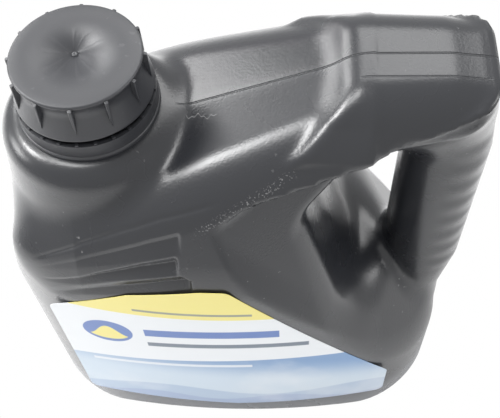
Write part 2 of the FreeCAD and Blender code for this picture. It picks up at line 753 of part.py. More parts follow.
cap = screw_cap()
band = tamper_band()
liner = cap_liner()
front_label = label("front_label", -1, [
    ("Dims.label_left", "Dims.label_foot + Dims.label_foot_rise"),
    ("Dims.label_left", "Dims.label_shoulder"),
    ("Dims.label_mid_x", "Dims.label_mid"),
    ("Dims.label_peak_x", "Dims.label_peak"),
    ("Dims.label_cut_x", "Dims.label_peak"),
    ("Dims.label_right", "Dims.label_end"),
    ("Dims.label_right", "Dims.label_foot + Dims.label_foot_rise"),
    ("0", "Dims.label_foot"),
])
back_label = label("back_label", 1, [
    ("Dims.back_left", "Dims.back_foot"),
    ("Dims.back_left", "Dims.back_top"),
    ("Dims.back_right - 40", "Dims.back_top"),
    ("Dims.back_right", "Dims.back_top - 60"),
    ("Dims.back_right", "Dims.back_foot"),
])
doc.recompute()
pieces = {
    "bottle": bottle,
    "screw_cap": cap,
    "tamper_band": band,
    "cap_liner": liner,
    "front_label": front_label,
    "back_label": back_label,
}
for item in doc.Objects:
    if "Invalid" in item.State or "Error" in item.State:
        raise RuntimeError("%s did not build" % item.Name)
for name, piece in pieces.items():
    piece.Label = name
    if piece.Shape.isNull() or not piece.Shape.isValid():
        raise RuntimeError("%s is not a sound solid" % name)
    piece.Shape.exportStep("parts/%s.step" % name)
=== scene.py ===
import bpy
import bmesh
import math
import numpy as np
from mathutils import Matrix, Vector


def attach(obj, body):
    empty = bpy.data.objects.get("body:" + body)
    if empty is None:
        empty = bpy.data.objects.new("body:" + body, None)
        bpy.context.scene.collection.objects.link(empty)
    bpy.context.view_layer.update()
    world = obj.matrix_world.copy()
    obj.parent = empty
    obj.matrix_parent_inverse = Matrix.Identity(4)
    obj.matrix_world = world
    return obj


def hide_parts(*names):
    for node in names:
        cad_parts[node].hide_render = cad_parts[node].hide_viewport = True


# Motor oil jug, seen from above its label side. Sizes are millimetres until the last step of each mesh.
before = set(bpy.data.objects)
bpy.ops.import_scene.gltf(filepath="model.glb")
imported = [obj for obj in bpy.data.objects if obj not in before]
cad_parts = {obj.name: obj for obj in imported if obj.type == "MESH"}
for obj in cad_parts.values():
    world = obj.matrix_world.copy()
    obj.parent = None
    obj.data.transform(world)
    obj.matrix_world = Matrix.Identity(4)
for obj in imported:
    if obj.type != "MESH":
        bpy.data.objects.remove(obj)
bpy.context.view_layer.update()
mm = 0.001
print("frame loaded:", sorted(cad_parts))


def newMesh(name, points, faces, smooth=True):
    mesh = bpy.data.meshes.new(name)
    mesh.from_pydata([tuple(p) for p in points], [], [tuple(f) for f in faces])
    mesh.update()
    item = bpy.data.objects.new(name, mesh)
    bpy.context.scene.collection.objects.link(item)
    for polygon in mesh.polygons:
        polygon.use_smooth = smooth
    return item


class Value:
    # A shader socket that takes part in sums
    def __init__(self, tree, socket):
        self.tree = tree
        self.socket = socket

    def __add__(self, other):
        return self.tree.math("ADD", self, other)

    def __radd__(self, other):
        return self.tree.math("ADD", other, self)

    def __sub__(self, other):
        return self.tree.math("SUBTRACT", self, other)

    def __rsub__(self, other):
        return self.tree.math("SUBTRACT", other, self)

    def __mul__(self, other):
        return self.tree.math("MULTIPLY", self, other)

    def __rmul__(self, other):
        return self.tree.math("MULTIPLY", other, self)

    def __truediv__(self, other):
        return self.tree.math("DIVIDE", self, other)

    def __abs__(self):
        return self.tree.math("ABSOLUTE", self)


class Tree:
    def __init__(self, name):
        self.material = bpy.data.materials.new(name)
        self.material.use_nodes = True
        self.nodes = self.material.node_tree.nodes
        self.links = self.material.node_tree.links
        self.shader = self.nodes["Principled BSDF"]

    def put(self, target, value):
        if isinstance(value, Value):
            self.links.new(value.socket, target)
        else:
            target.default_value = value

    def node(self, kind, settings, inputs, output=0):
        item = self.nodes.new(kind)
        for key, value in settings.items():
            setattr(item, key, value)
        for key, value in inputs.items():
            self.put(item.inputs[key], value)
        return Value(self, item.outputs[output])

    def math(self, operation, *values):
        return self.node("ShaderNodeMath", {"operation": operation}, dict(enumerate(values)))

    def mix(self, amount, first, second):
        colours = {0: amount}
        for index, value in ((6, first), (7, second)):
            colours[index] = value if isinstance(value, Value) else (*value, 1)
        return self.node("ShaderNodeMix", {"data_type": "RGBA"}, colours, 2)

    def place(self):
        # Position in the frame, in millimetres
        where = self.node("ShaderNodeTexCoord", {}, {}, "Object")
        split = self.nodes.new("ShaderNodeSeparateXYZ")
        self.links.new(where.socket, split.inputs[0])
        return where, [Value(self, split.outputs[axis]) * 1000 for axis in range(3)]

    def between(self, value, low, high, soft):
        rise = self.ramp(value, low - soft / 2, low + soft / 2)
        return rise * (1 - self.ramp(value, high - soft / 2, high + soft / 2))

    def ramp(self, value, low, high):
        return self.node("ShaderNodeMapRange", {"clamp": True, "interpolation_type": "SMOOTHSTEP"},
                         {0: value, 1: low, 2: high, 3: 0.0, 4: 1.0})

    def noise(self, where, scale, detail=3.0, stretch=None):
        if stretch:
            where = self.node("ShaderNodeMapping", {}, {0: where, 3: stretch})
        return self.node("ShaderNodeTexNoise", {}, {"Vector": where, "Scale": scale, "Detail": detail})

    def bump(self, height, depth):
        # Depth in millimetres for a height of one
        return self.node("ShaderNodeBump", {}, {"Strength": 1.0, "Distance": depth * mm, "Height": height})


def plainMaterial(name, colour, rough=0.5):
    material = bpy.data.materials.new(name)
    material.use_nodes = True
    shader = material.node_tree.nodes["Principled BSDF"]
    shader.inputs["Base Color"].default_value = (*colour, 1)
    shader.inputs["Roughness"].default_value = rough
    return material


# Blown jug: a distance field with soft joins, meshed on a fine grid

jugLook = {
    "gridStep": 1.9,
    "fluteCuts": 2,
    "plastic": (0.016, 0.017, 0.020),
    "plasticRough": 0.27,
    "grainScale": 900.0,
    "grainDepth": 0.05,
    "seamWidth": 0.35,
    "rippleDepth": 0.5,
    "dust": 0.25,
}

jugSize = {
    "halfWidth": 108.4, "halfDepth": 62.8, "frontBow": 440.0, "sideBow": 250.0, "cornerRound": 35.0,
    "baseRound": 6.0,
    "ridgeHeight": 211.0, "ridgeRise": 0.425, "roofSlope": 0.08, "crestHalf": 42.3, "crestTaper": 0.19,
    "crestEnd": -20.0, "crestRound": 15.0, "flankFoot": 160.0, "shoulderEnd": 118.0, "shoulderSlope": 2.9,
    "barTop": 234.5, "barHalf": 31.5, "barRound": 20.0, "barTaper": 0.08, "stepEnd": 52.4, "stepLean": 1.15,
    "gripHalf": 20.5, "gripFlare": 8.0, "gripRound": 18.0, "gripOut": 113.8, "gripIn": 77.5,
    "browHeight": 192.5, "browRise": 0.385,
    "holeLeft": 34.0, "holeLeftHeight": 173.0, "holeTop": 203.0, "holeBottom": 80.0, "holeTip": 62.0,
    "holeRound": 9.0, "rimRound": 8.0, "scoopRise": 0.6, "scoopTop": 104.0,
    "recessHeight": 169.0, "recessFall": 1.28, "rampDepth": 5.8, "rampSlope": 1.3,
    "panelHeight": 171.5, "panelSlope": 2.39,
    "neckX": -54.2, "bellFootRadius": 44.0, "bellFoot": 157.0, "bellRadius": 37.8, "bellTop": 206.5,
    "bellRound": 9.0, "flangeRadius": 29.5, "flangeThick": 2.2, "neckRadius": 21.8, "mouthRadius": 19.4,
    "lipHeight": 233.0,
    "crestEase": 20.0, "leftPinch": 0.2, "leftPinchFrom": -62.0, "seamDip": 3.0, "seamReach": 12.0,
    "shoulderJoin": 5.0, "leftJoin": 9.0, "barFrom": 44.0, "barFade": 18.0, "barJoin": 2.5,
    "barSpread": 0.33, "barSpreadTo": 72.0, "barSpreadMost": 5.0, "barSpreadTop": 34.0, "barSpreadFade": 9.0,
    "recessJoin": 1.6, "browJoin": 7.0, "gripJoin": 7.0, "bellJoin": 8.0, "bellSink": 25.0,
    "scoopTilt": 0.25, "scoopMiddle": 72.0, "scoopJoin": 16.0, "roomJoin": 14.0,
    "hollowRadius": 36.0, "hollowHeight": 155.0, "hollowStretch": 1.25, "hollowWall": 4.5,
    "boreFoot": 175.0, "boreJoin": 3.0,
    "fluteTip": -82.0, "fluteGrow": 64.0, "fluteRamp": 7.5, "fluteRampLeast": 1.2, "fluteEnd": 1.1,
    "fluteInset": 3.0, "creaseWidth": 0.8, "creaseDepth": 0.45,
}

# Each flute: its upper and its lower line as (along, up) from left to right, and its depth at the right end
flutes = [
    ([(-84, 154.0), (-60, 168.2), (-41, 176.6), (-28, 182.4), (-13, 188.0)],
     [(-84, 153.4), (-60, 166.6), (-41, 174.8), (-28, 180.4), (-13, 185.8)], 1.1),
    ([(-84, 146.5), (-52, 162.4), (-34, 170.2), (-15, 176.6)],
     [(-84, 145.9), (-52, 160.6), (-34, 167.7), (-15, 172.8)], 2.3),
    ([(-84, 136.5), (-72, 147.6), (-43, 158.9), (-15, 166.6)],
     [(-84, 135.9), (-63, 147.9), (-44, 154.3), (-26, 159.2), (-10, 162.8)], 2.3),
]
flankCrease = [(-84, 157.8), (-59, 173.3), (-41, 182.0), (-23, 190.2), (0, 198.6)]


def softMax(a, b, k):
    h = np.clip(0.5 + 0.5 * (a - b) / k, 0, 1)
    return b + (a - b) * h + k * h * (1 - h)


def softMin(a, b, k):
    return -softMax(-a, -b, k)


def roundCorner(a, b, r):
    # Meeting of two slabs with a true radius
    outside = np.hypot(np.maximum(a + r, 0), np.maximum(b + r, 0))
    return np.minimum(np.maximum(a, b), -r) + outside


def polygonField(x, z, corners):
    # Signed distance to a closed outline
    points = np.array(corners, dtype=float)
    distance = np.full(x.shape, 1e9)
    inside = np.zeros(x.shape, dtype=bool)
    for a, b in zip(points, np.roll(points, -1, axis=0)):
        ex, ez = b - a
        wx, wz = x - a[0], z - a[1]
        t = np.clip((wx * ex + wz * ez) / (ex * ex + ez * ez), 0, 1)
        distance = np.minimum(distance, np.hypot(wx - ex * t, wz - ez * t))
        crosses = (a[1] > z) != (b[1] > z)
        if ez != 0:
            inside ^= crosses & (wx < ex * wz / ez)
    return np.where(inside, -distance, distance)


def planField(x, ay, inset=0.0):
    s = jugSize
    front = np.hypot(x, ay + s["frontBow"] - s["halfDepth"]) - s["frontBow"] + inset
    side = np.hypot(np.abs(x) + s["sideBow"] - s["halfWidth"], ay) - s["sideBow"] + inset
    return roundCorner(front, side, s["cornerRound"] - inset)


def drawnIn(corners, radius):
    # The outline moved inward by its corner radius, so that growing it back rounds its corners
    middle = np.mean(np.array(corners), axis=0)
    shrunk = []
    count = len(corners)
    for index in range(count):
        before = np.array(corners[index - 1])
        here = np.array(corners[index])
        after = np.array(corners[(index + 1) % count])
        normals = []
        for first, second in ((before, here), (here, after)):
            along = (second - first) / np.linalg.norm(second - first)
            normal = np.array([-along[1], along[0]])
            normals.append(normal if np.dot(normal, middle - here) > 0 else -normal)
        bisector = (normals[0] + normals[1]) / (1 + np.dot(normals[0], normals[1]))
        shrunk.append(here + bisector * radius)
    return shrunk


def holeField(x, z):
    s = jugSize
    corners = [(s["holeLeft"], s["holeLeftHeight"]), (s["gripIn"], s["holeTop"]),
               (s["gripIn"], s["holeBottom"]), (s["holeTip"], s["holeBottom"])]
    return polygonField(x, z, drawnIn(corners, s["holeRound"])) - s["holeRound"]


def gripField(x, ay, z):
    # Slab round the finger hole: the grip and what carries it
    s = jugSize
    corners = [
        (s["holeLeft"] - 4, s["holeLeftHeight"] + 20),
        (s["stepEnd"] + 3, s["barTop"] - 1),
        (s["gripOut"] - 11, s["barTop"] - 1),
        (s["gripOut"] - 6.5, s["barTop"] - 4),
        (s["gripOut"] - 3, s["barTop"] - 20),
        (s["gripOut"], s["barTop"] - 45),
        (s["gripOut"], s["holeBottom"] + 20),
        (s["halfWidth"] - 1, s["holeBottom"] - 25),
        (s["holeTip"] - 2, s["holeBottom"] - 25),
    ]
    side = polygonField(x, z, drawnIn(corners, 4.0)) - 4.0
    side = roundCorner(side, -holeField(x, z), 2.0)
    half = s["gripHalf"] + s["gripFlare"] * np.clip((z - 185 - 0.35 * (x - 75)) / 30, 0, 1) ** 2
    return roundCorner(side, ay - half, s["gripRound"])


def barField(x, ay, z):
    # Handle top: a wide bar above the brow line, which starts at the step
    s = jugSize
    half = s["barHalf"] - s["barTaper"] * np.maximum(x - 60, 0)
    spread = np.clip(s["barSpread"] * (s["barSpreadTo"] - x), 0, s["barSpreadMost"])
    half = half + spread * np.clip((s["browHeight"] + s["barSpreadTop"] - z) / s["barSpreadFade"], 0, 1)
    corners = [
        (10, s["barTop"] - 40),
        (10, s["barTop"]),
        (s["gripOut"] - 24, s["barTop"]),
        (s["gripOut"] - 9, s["barTop"] - 4),
        (s["gripOut"] - 3, s["barTop"] - 19),
        (s["gripOut"], s["barTop"] - 40),
    ]
    side = polygonField(x, z, drawnIn(corners, 4.0)) - 4.0
    bar = roundCorner(side, ay - half, s["barRound"])
    start = s["stepEnd"] - s["stepLean"] * (s["barTop"] - z)
    return roundCorner(bar, (start - x) / math.hypot(1, s["stepLean"]), 2.0), bar


def fluteDepth(x, z):
    # Going down a flute, a steep face cuts in and a broad ramp comes out again. The left tip has no depth.
    s = jugSize
    depth = np.zeros(np.shape(x))
    grow = np.clip((x - s["fluteTip"]) / s["fluteGrow"], 0, 1)
    for upper, lower, deep in flutes:
        high = np.interp(x, *np.transpose(upper))
        low = np.interp(x, *np.transpose(lower))
        cut = np.clip((high - z) / (high - low), 0, 1)
        out = np.clip(1 - (low - z) / (s["fluteRampLeast"] + s["fluteRamp"] * grow), 0, 1)
        down = np.clip((high - z) / np.maximum(high - low, 1), 0, 1)
        last = upper[-1][0] - s["fluteInset"] + (lower[-1][0] - upper[-1][0]) * down
        end = np.clip((last - x) / s["fluteEnd"] + 0.5, 0, 1)
        depth = np.maximum(depth, deep * grow * cut * out * end)
    off = (z - np.interp(x, *np.transpose(flankCrease))) / s["creaseWidth"]
    fade = np.clip((x + 84) / 8, 0, 1) * np.clip((2 - x) / 8, 0, 1)
    return np.maximum(depth, s["creaseDepth"] * np.exp(-off ** 2) * fade)


def bodyField(x, y, z):
    s = jugSize
    dip = s["seamDip"]
    ay = np.sqrt(y * y + dip * dip) - dip * np.exp(-np.abs(y) / s["seamReach"])
    plan = planField(x, ay)
    core = roundCorner(plan, -z, s["baseRound"])
    brow = (z - s["browHeight"] - s["browRise"] * x) / math.hypot(1, s["browRise"])

    # Roof and flank rise towards the handle and close in on the seam
    run = ay + s["crestTaper"] * softMax(x, s["crestEnd"], s["crestEase"])
    run = run + s["leftPinch"] * np.maximum(s["leftPinchFrom"] - x, 0)
    height = z - s["ridgeRise"] * x
    top = s["ridgeHeight"] - s["roofSlope"] * s["crestHalf"]
    flankSlope = (top - s["flankFoot"]) / (s["halfDepth"] - s["crestHalf"])
    roof = (height - s["ridgeHeight"] + s["roofSlope"] * run) / math.hypot(1, s["ridgeRise"])
    flank = (height - top + flankSlope * (run - s["crestHalf"])) / math.sqrt(1.2 + flankSlope ** 2)
    shoulder = roundCorner(roof, flank, s["crestRound"])
    block = roundCorner(core, shoulder, s["shoulderJoin"])
    slope = s["shoulderSlope"]
    left = (z - s["shoulderEnd"] - slope * (x + s["halfWidth"])) / math.hypot(1, slope)
    block = softMax(block, left, s["leftJoin"])

    # Past the step the bar takes over from the shoulder
    bar, barWhole = barField(x, ay, z)
    past = np.clip((x - s["barFrom"]) / s["barFade"], 0, 1)
    limit = np.minimum(barWhole, brow + 1) - 30 * (1 - past)
    block = softMax(block, limit, 2.0)
    block = softMin(block, np.maximum(bar, -brow), s["barJoin"])

    # Recess: a ramp inside its edge, then a flat panel that leans in towards the finger hole
    along = z + s["recessFall"] * x
    ramp = s["halfDepth"] - s["rampSlope"] * (along - s["recessHeight"]) / math.hypot(1, s["recessFall"])
    panel = s["halfDepth"] - s["rampDepth"] - (along - s["panelHeight"]) / s["panelSlope"]
    floor = softMax(ramp, panel, 1.5)
    cut = softMax((floor - ay) * 0.8, brow, s["browJoin"])
    block = softMax(block, -cut, s["recessJoin"])

    # Open space right of the hole's left side, down to a broad scoop
    scoop = s["recessHeight"] - s["recessFall"] * x + s["scoopRise"] * (s["halfDepth"] - ay)
    scoop = softMin(scoop, s["scoopTop"] + s["scoopTilt"] * (x - s["scoopMiddle"]), s["scoopJoin"])
    openSide = [
        (s["holeLeft"], s["holeLeftHeight"]), (s["gripIn"], s["holeTop"]),
        (s["gripIn"] + 60, s["holeTop"] + 6), (s["gripIn"] + 60, 10), (s["holeTip"] + 22, 10),
    ]
    room = polygonField(x, z, drawnIn(openSide, s["holeRound"])) - s["holeRound"]
    room = softMax(room, (scoop - z) / math.hypot(1.2, s["recessFall"]), s["roomJoin"])
    block = roundCorner(block, -room, s["rimRound"])
    jug = softMin(block, gripField(x, ay, z), s["gripJoin"])
    jug = softMin(jug, np.maximum(bar, -brow), 3.0)

    # Bell that carries the neck
    radius = np.hypot(x - s["neckX"], y)
    lean = (s["bellFootRadius"] - s["bellRadius"]) / (s["bellTop"] - s["bellFoot"])
    bellSide = (radius - s["bellFootRadius"] + lean * (z - s["bellFoot"])) / math.hypot(1, lean)
    bell = roundCorner(bellSide, z - s["bellTop"], s["bellRound"])
    bell = np.maximum(bell, s["bellFoot"] - s["bellSink"] - z)
    return softMin(jug, bell, s["bellJoin"])


def surfaceNet(field, low, high, step):
    # One point in each grid cell that the surface crosses, one face for each grid edge that it crosses
    axes = [np.arange(a, b + step, step) for a, b in zip(low, high)]
    grid = np.meshgrid(*axes, indexing="ij")
    value = field(*grid)
    inside = value < 0
    shape = value.shape
    cellShape = tuple(n - 1 for n in shape)
    count = np.zeros(cellShape, dtype=np.int32)
    total = np.zeros(cellShape + (3,))
    offsets = [(i, j, k) for i in (0, 1) for j in (0, 1) for k in (0, 1)]
    pairs = [(a, b) for a in offsets for b in offsets if sum(b) - sum(a) == 1]
    edges = [(a, b) for a, b in pairs if all(q >= p for p, q in zip(a, b))]

    def part(array, offset):
        return array[offset[0]:offset[0] + cellShape[0], offset[1]:offset[1] + cellShape[1],
                     offset[2]:offset[2] + cellShape[2]]

    for a, b in edges:
        va = part(value, a)
        vb = part(value, b)
        cross = part(inside, a) != part(inside, b)
        t = np.where(cross, va / np.where(cross, va - vb, 1), 0)
        for axis in range(3):
            total[..., axis] += np.where(cross, a[axis] + t * (b[axis] - a[axis]), 0)
        count += cross
    used = count > 0
    index = np.full(cellShape, -1, dtype=np.int64)
    index[used] = np.arange(used.sum())
    cells = np.argwhere(used)
    points = cells + total[used] / count[used][:, None]
    points = points * step + np.array([axis[0] for axis in axes])
    faces = []
    for axis in range(3):
        others = [a for a in range(3) if a != axis]
        ahead = [slice(None)] * 3
        behind = [slice(None)] * 3
        ahead[axis] = slice(1, None)
        behind[axis] = slice(0, -1)
        first = inside[tuple(behind)]
        second = inside[tuple(ahead)]
        for flip in (False, True):
            hit = (first & ~second) if not flip else (~first & second)
            where = np.argwhere(hit)
            good = np.all([(where[:, o] > 0) & (where[:, o] < shape[o] - 1) for o in others], axis=0)
            where = where[good]
            ring = []
            for da, db in ((-1, -1), (0, -1), (0, 0), (-1, 0)):
                cell = where.copy()
                cell[:, others[0]] += da
                cell[:, others[1]] += db
                ring.append(index[cell[:, 0], cell[:, 1], cell[:, 2]])
            ring = np.stack(ring, axis=1)
            turned = flip != (axis == 1)
            faces.append(ring[:, ::-1] if turned else ring)
    return points, np.concatenate(faces)


def gradient(field, points):
    e = 0.05
    x, y, z = points.T
    return np.stack([
        field(x + e, y, z) - field(x - e, y, z),
        field(x, y + e, z) - field(x, y - e, z),
        field(x, y, z + e) - field(x, y, z - e),
    ], axis=1) / (2 * e)


def slopeOf(field, points):
    # Outward direction of the surface at each point
    slope = gradient(field, points)
    return slope / np.maximum(np.linalg.norm(slope, axis=1), 1e-6)[:, None]


def settle(field, points, rounds=3):
    # Moves each point onto the surface along the field's slope
    for _ in range(rounds):
        here = field(*points.T)
        slope = gradient(field, points)
        size = np.maximum((slope ** 2).sum(axis=1), 0.05)
        points = points - slope * np.clip(here / size, -0.6, 0.6)[:, None]
    return points


def meshFromArrays(name, points, faces):
    mesh = bpy.data.meshes.new(name)
    mesh.vertices.add(len(points))
    mesh.vertices.foreach_set("co", (points * mm).astype(np.float32).ravel())
    mesh.loops.add(faces.size)
    mesh.loops.foreach_set("vertex_index", faces.astype(np.int32).ravel())
    mesh.polygons.add(len(faces))
    mesh.polygons.foreach_set("loop_start", np.arange(0, faces.size, 4, dtype=np.int32))
    mesh.polygons.foreach_set("use_smooth", np.ones(len(faces), dtype=bool))
    mesh.update(calc_edges=True)
    mesh.validate()
    item = bpy.data.objects.new(name, mesh)
    bpy.context.scene.collection.objects.link(item)
    return item


def shellField(x, y, z):
    # The body with its open mouth and the hollow that shows through it
    s = jugSize
    body = bodyField(x, y, z)
    radius = np.hypot(x - s["neckX"], y)
    hollow = np.sqrt(radius ** 2 + ((z - s["hollowHeight"]) / s["hollowStretch"]) ** 2) - s["hollowRadius"]
    hollow = np.maximum(hollow, body + s["hollowWall"])
    bore = np.maximum(radius - s["mouthRadius"], s["boreFoot"] - z)
    return np.maximum(body, -softMin(hollow, bore, s["boreJoin"]))


def jugPlastic():
    look = jugLook
    tree = Tree("jugPlastic")
    where, (x, y, z) = tree.place()
    grain = tree.noise(where, look["grainScale"], 2.0)
    cloud = tree.noise(where, 22.0, 4.0)

    # Mould seam along the middle of the roof and the bar, and a fine second line on the bar
    onTop = tree.ramp(z, 196.0, 202.0) * tree.ramp(x, -20.0, -12.0)
    seam = tree.between(abs(y), -1.0, look["seamWidth"], 0.5) * onTop
    second = tree.between(y, -11.6, -11.0, 0.4) * tree.between(x, 56.0, 103.0, 3.0)
    second = second * tree.ramp(z, 226.0, 230.0)
    ripple = tree.math("SINE", z * 0.46 + x * 0.05) * tree.ramp(x, 92.0, 101.0)
    ripple = ripple * tree.between(z, 100.0, 205.0, 30.0)

    # Rough specks beside the brow, a short squiggle of a scratch, and scattered dust
    along = tree.between(z - 193.0 - x * 0.62, -2.0, 1.0, 3.0) * tree.between(x, -9.0, 30.0, 6.0)
    along = along * tree.ramp(0 - y, 25.0, 34.0)
    specks = tree.ramp(tree.noise(where, 1300.0, 3.0), 0.58, 0.66)
    rough = specks * along
    wave = tree.math("SINE", x * 0.9) * 0.8 + tree.math("SINE", x * 2.3) * 0.5
    squiggle = tree.between(y + 10.0 + wave + x * 0.3, -0.15, 0.15, 0.35) * tree.between(x, -14.0, -1.0, 1.0)
    squiggle = squiggle * tree.ramp(z, 190.0, 200.0) * tree.ramp(cloud, 0.42, 0.5)
    dust = tree.ramp(tree.noise(where, 420.0, 2.0), 0.72, 0.78) * tree.ramp(cloud, 0.45, 0.65) * look["dust"]
    marks = tree.math("MAXIMUM", tree.math("MAXIMUM", rough * 0.35, squiggle * 0.3), dust)

    # Painted haze: the plastic colour is lightened towards the foot, where bright haze washes it out
    baseWithPaintedHaze = tree.mix(tree.ramp(z, 34.0, 2.0) * 0.5, look["plastic"], (0.30, 0.31, 0.33))
    colour = tree.mix(marks, baseWithPaintedHaze, (0.42, 0.42, 0.42))
    tree.put(tree.shader.inputs["Base Color"], colour)
    tree.put(tree.shader.inputs["Roughness"], look["plasticRough"] + (cloud - 0.5) * 0.10 + marks * 0.2)
    height = grain * look["grainDepth"] - seam * 0.5 - second * 0.25
    height = height + ripple * look["rippleDepth"] * 0.5 + marks * 0.12
    tree.put(tree.shader.inputs["Normal"], tree.bump(height, 1.0))
    return tree.material


def refineFlutes(item):
    # Finer faces where the flutes are cut
    mesh = bmesh.new()
    mesh.from_mesh(item.data)
    chosen = []
    for face in mesh.faces:
        middle = face.calc_center_median() / mm
        if -84 < middle.x < 4 and abs(middle.y) > 40 and 142 < middle.z < 204 and abs(face.normal.y) > 0.3:
            chosen.append(face)
    edges = list({edge for face in chosen for edge in face.edges})
    bmesh.ops.subdivide_edges(mesh, edges=edges, cuts=jugLook["fluteCuts"], use_grid_fill=True)
    mesh.to_mesh(item.data)
    mesh.free()
    count = len(item.data.vertices)
    points = np.empty(count * 3, dtype=np.float32)
    item.data.vertices.foreach_get("co", points)
    points = points.reshape(-1, 3).astype(float) / mm
    near = (points[:, 0] > -88) & (points[:, 0] < 6) & (np.abs(points[:, 1]) > 38)
    near &= (points[:, 2] > 138) & (points[:, 2] < 206)
    smooth = settle(shellField, points[near], 2)
    depth = fluteDepth(smooth[:, 0], smooth[:, 2])
    points[near] = smooth - slopeOf(shellField, smooth) * depth[:, None]
    item.data.vertices.foreach_set("co", (points * mm).astype(np.float32).ravel())
    item.data.update()
    for polygon in item.data.polygons:
        polygon.use_smooth = True


def makeJug():
    low = (-113.0, -66.0, -3.0)
    high = (118.0, 66.0, 240.0)
    step = jugLook["gridStep"]
    points, faces = surfaceNet(shellField, low, high, step)
    points = settle(shellField, points)
    skin = meshFromArrays("jugSkin", points, faces)
    refineFlutes(skin)
    skin.data.materials.append(jugPlastic())
    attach(skin, "jug")
    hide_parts("bottle")
    triangles = sum(len(polygon.vertices) - 2 for polygon in skin.data.polygons)
    print("jug skin:", len(skin.data.vertices), "points,", triangles, "triangles")


makeJug()

# Neck: flange, thread and lip, open all the way through

neckLook = {
    "around": 128,
    "threadHeight": 1.1,
    "threadPitch": 8.0,
    "threadStart": 215.5,
    "threadEnd": 229.5,
    "threadWidth": 1.5,
}


def turned(name, profile, around, bulge=None):
    # Closed ring of faces about the neck's axis. Profile runs with the material on its left.
    points = []
    faces = []
    count = len(profile)
    for step in range(around):
        angle = 2 * math.pi * step / around
        for radius, height in profile:
            r = radius + (bulge(radius, height, angle) if bulge else 0)
            across = jugSize["neckX"] + r * math.cos(angle)
            points.append((across * mm, r * math.sin(angle) * mm, height * mm))
    for step in range(around):
        after = (step + 1) % around
        for index in range(count):
            onward = (index + 1) % count
            faces.append((step * count + index, after * count + index,
                          after * count + onward, step * count + onward))
    return newMesh(name, points, faces)


def threadBulge(radius, height, angle):
    look = neckLook
    if radius < jugSize["neckRadius"] - 0.01 or radius > jugSize["neckRadius"] + 0.01:
        return 0
    low = look["threadStart"]
    high = look["threadEnd"]
    nearest = low + look["threadPitch"] * angle / (2 * math.pi)
    gap = min(abs(height - nearest - look["threadPitch"] * turn) for turn in (-1, 0, 1, 2))
    ends = max(0, min(1, (height - low) / 1.5, (high - height) / 1.5))
    return look["threadHeight"] * max(0, 1 - (gap / look["threadWidth"]) ** 2) * ends


def makeNeck():
    s = jugSize
    inner = s["mouthRadius"]
    outer = s["neckRadius"]
    foot = s["bellTop"]
    flange = foot + s["flangeThick"]
    lip = s["lipHeight"]
    profile = [(inner, foot - 4), (s["flangeRadius"] - 2, foot - 4), (s["flangeRadius"], foot - 0.5),
               (s["flangeRadius"], flange - 0.4), (s["flangeRadius"] - 0.4, flange), (outer + 0.5, flange)]
    height = flange + 0.5
    while height < lip - 0.8:
        profile.append((outer, height))
        height += 0.55
    profile += [(outer - 0.02, lip - 0.7), (outer - 0.7, lip - 0.02)]
    profile += [(inner + 0.7, lip - 0.02), (inner, lip - 0.7)]
    neck = turned("neckRing", profile, neckLook["around"], threadBulge)
    neck.data.materials.append(neckPlastic)
    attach(neck, "jug")
    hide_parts("bottle")


# Screw cap: a turned shell, then its thin tapering ribs from one drawn rib

capLook = {
    "plastic": (0.026, 0.027, 0.031),
    "rough": 0.42,
    "grainScale": 1500.0,
    "grainDepth": 0.035,
    "flowDepth": 0.035,
    "ribs": 12,
    "ribTurn": 92.6,
    "ribHalf": 0.75,
    "ribTop": 235.4,
    "ribFoot": 221.6,
    "around": 144,
}

capSize = {
    "top": 236.6, "rim": 26.4, "waist": 25.5, "waistHeight": 229.5, "skirt": 28.6,
    "foot": 218.0, "wall": 1.6, "plate": 2.4, "ribReach": 27.6,
}


def moulded(name, look, flow):
    # Fine-grained moulded plastic, with faint star-like flow marks round the gate on the cap's top
    tree = Tree(name)
    where, (x, y, z) = tree.place()
    grain = tree.noise(where, look["grainScale"], 2.0)
    cloud = tree.noise(where, 60.0, 3.0)
    height = grain * look["grainDepth"]
    wear = tree.ramp(tree.noise(where, 260.0, 3.0), 0.66, 0.74) * 0.10
    if flow:
        dx = x - jugSize["neckX"]
        angle = tree.math("ARCTAN2", y, dx)
        distance = tree.math("SQRT", dx * dx + y * y)
        wander = (cloud - 0.5) * 5.0
        petals = tree.math("SINE", angle * 5.0 + wander + distance * 0.05)
        star = tree.ramp(abs(petals - 0.35), 0.5, 0.0) * tree.between(distance, 3.0, 13.5, 4.0)
        star = star * tree.ramp(z, 236.0, 236.5)
        height = height + star * look["flowDepth"]
        wear = wear + star * 0.03
    colour = tree.mix(wear, look["plastic"], (0.20, 0.20, 0.21))
    tree.put(tree.shader.inputs["Base Color"], colour)
    tree.put(tree.shader.inputs["Roughness"], look["rough"] + (cloud - 0.5) * 0.12)
    tree.put(tree.shader.inputs["Normal"], tree.bump(height, 1.0))
    return tree.material


def drawnRib():
    # One rib at the cap's centre line, pointing along +X: full height at the rim, a point at its foot
    c = capSize
    look = capLook
    half = look["ribHalf"]
    top = look["ribTop"]
    foot = look["ribFoot"]
    sections = [
        (top + 0.5, c["rim"] - 0.9, half * 0.8), (top, c["ribReach"], half),
        (top - 4, c["ribReach"] + 0.1, half), (top - 9, c["ribReach"] + 0.2, half * 0.7),
        (foot, c["skirt"] - 0.75, 0.06),
    ]
    points = []
    faces = []
    for height, reach, width in sections:
        root = c["waist"] - 1.2 if height > c["waistHeight"] else c["waist"] + 0.2
        for r, w in ((root, width), (reach - 0.25, width), (reach, width * 0.6), (reach, -width * 0.6),
                     (reach - 0.25, -width), (root, -width)):
            points.append((r * mm, w * mm, height * mm))
    for index in range(len(sections) - 1):
        for side in range(6):
            after = (side + 1) % 6
            a = index * 6
            faces.append((a + side, a + side + 6, a + after + 6, a + after))
    faces.append(tuple(range(6)))
    faces.append(tuple(range(len(points) - 1, len(points) - 7, -1)))
    return newMesh("drawnRib", points, faces, False)


